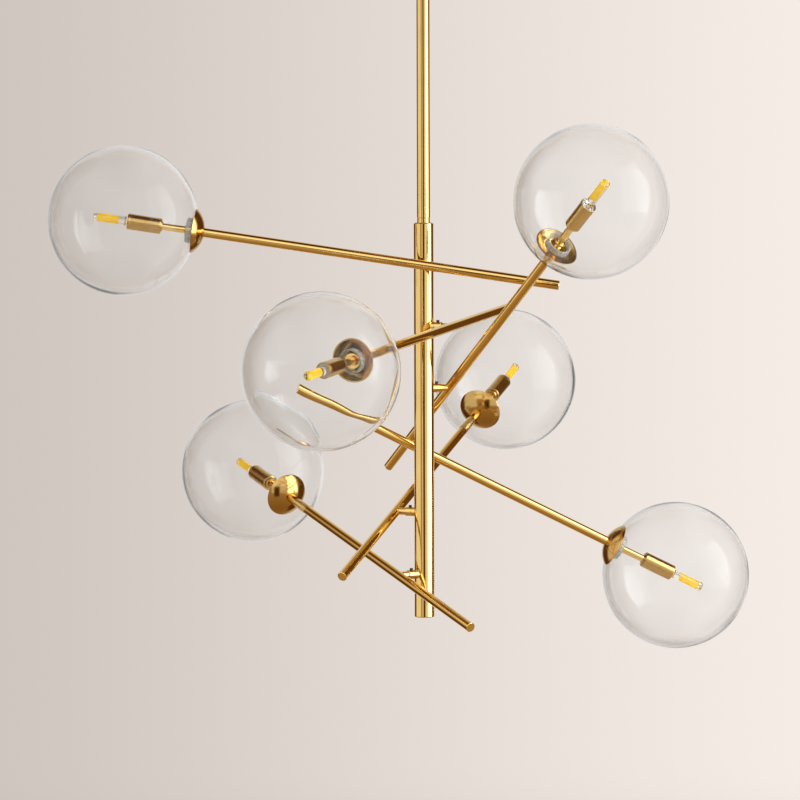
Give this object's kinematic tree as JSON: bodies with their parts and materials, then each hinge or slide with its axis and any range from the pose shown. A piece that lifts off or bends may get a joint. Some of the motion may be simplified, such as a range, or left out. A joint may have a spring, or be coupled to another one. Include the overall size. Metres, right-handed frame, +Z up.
{
  "type": "branch chandelier",
  "caption": "Brass ceiling light with a straight rod, a column and tilting arms on knuckles, each ending in a cup, a clear glass globe and a capsule lamp.",
  "frame": {"origin": "centre of the ceiling screw pattern, on the ceiling plane and the column's axis", "axes": "+Z up towards the ceiling, +X along the ceiling strap and to the right in the picture, +Y away from the picture's camera"},
  "size_m": [0.7074, 0.7003, 0.7771],
  "materials": {
    "polished_brass": "polished, lacquered",
    "satin_brass": "satin, turned",
    "dark_steel": "blackened",
    "zinc_steel": "zinc plated",
    "clear_glass": "clear, blown",
    "white_ceramic": "glazed",
    "lamp_glass": "clear"
  },
  "bodies": {
    "ceiling_fitting": {"ceiling_bracket": "zinc_steel", "hub_locknut": "zinc_steel", "swivel_body": "satin_brass", "swivel_cap": "satin_brass", "canopy": "satin_brass", "canopy_screws": "satin_brass"},
    "column": {"down_rod": "polished_brass", "column_top_cap": "polished_brass", "column_tube": "polished_brass", "column_end_cap": "polished_brass", "knuckle_barrels": "polished_brass", "set_screws": "dark_steel"},
    "arm_1": {"arm_tube_1": "polished_brass", "pivot_spigot_1": "polished_brass", "shade_cup_1": "satin_brass", "glass_globe_1": "clear_glass", "lamp_stem_1": "satin_brass", "socket_sleeve_1": "satin_brass", "lamp_holder_1": "white_ceramic", "lamp_1": "lamp_glass"},
    "arm_2": {"arm_tube_2": "polished_brass", "pivot_spigot_2": "polished_brass", "shade_cup_2": "satin_brass", "glass_globe_2": "clear_glass", "lamp_stem_2": "satin_brass", "socket_sleeve_2": "satin_brass", "lamp_holder_2": "white_ceramic", "lamp_2": "lamp_glass"},
    "arm_3": {"arm_tube_3": "polished_brass", "pivot_spigot_3": "polished_brass", "shade_cup_3": "satin_brass", "glass_globe_3": "clear_glass", "lamp_stem_3": "satin_brass", "socket_sleeve_3": "satin_brass", "lamp_holder_3": "white_ceramic", "lamp_3": "lamp_glass"},
    "arm_4": {"arm_tube_4": "polished_brass", "pivot_spigot_4": "polished_brass", "shade_cup_4": "satin_brass", "glass_globe_4": "clear_glass", "lamp_stem_4": "satin_brass", "socket_sleeve_4": "satin_brass", "lamp_holder_4": "white_ceramic", "lamp_4": "lamp_glass"},
    "arm_5": {"arm_tube_5": "polished_brass", "pivot_spigot_5": "polished_brass", "shade_cup_5": "satin_brass", "glass_globe_5": "clear_glass", "lamp_stem_5": "satin_brass", "socket_sleeve_5": "satin_brass", "lamp_holder_5": "white_ceramic", "lamp_5": "lamp_glass"},
    "arm_6": {"arm_tube_6": "polished_brass", "pivot_spigot_6": "polished_brass", "shade_cup_6": "satin_brass", "glass_globe_6": "clear_glass", "lamp_stem_6": "satin_brass", "socket_sleeve_6": "satin_brass", "lamp_holder_6": "white_ceramic", "lamp_6": "lamp_glass"}
  },
  "joints": [
    {"name": "rod_swivel", "type": "hinge", "parent": "ceiling_fitting", "child": "column", "pos_m": [0, 0, -0.029], "axis": [0, 0, 1], "range_deg": [-170, 170]},
    {"name": "arm_1_tilt", "type": "hinge", "parent": "column", "child": "arm_1", "pos_m": [-0.00243, -0.0309, -0.3809], "axis": [0.0785, 0.9969, 0], "range_deg": [-53.5, 16.5]},
    {"name": "arm_2_tilt", "type": "hinge", "parent": "column", "child": "arm_2", "pos_m": [0.02821, -0.01286, -0.4431], "axis": [-0.91, 0.4147, 0], "range_deg": [-39, 46]},
    {"name": "arm_3_tilt", "type": "hinge", "parent": "column", "child": "arm_3", "pos_m": [0.02539, 0.01778, -0.5053], "axis": [-0.8192, -0.5736, 0], "range_deg": [-83.5, 3.5]},
    {"name": "arm_4_tilt", "type": "hinge", "parent": "column", "child": "arm_4", "pos_m": [-0.00645, 0.03032, -0.5675], "axis": [0.2079, -0.9781, 0], "range_deg": [-18.5, 56.5]},
    {"name": "arm_5_tilt", "type": "hinge", "parent": "column", "child": "arm_5", "pos_m": [-0.02821, 0.01286, -0.6297], "axis": [0.91, -0.4147, 0], "range_deg": [-68.5, 11.5]},
    {"name": "arm_6_tilt", "type": "hinge", "parent": "column", "child": "arm_6", "pos_m": [-0.02615, -0.01666, -0.6919], "axis": [0.8434, 0.5373, 0], "range_deg": [-62, 28]}
  ]
}
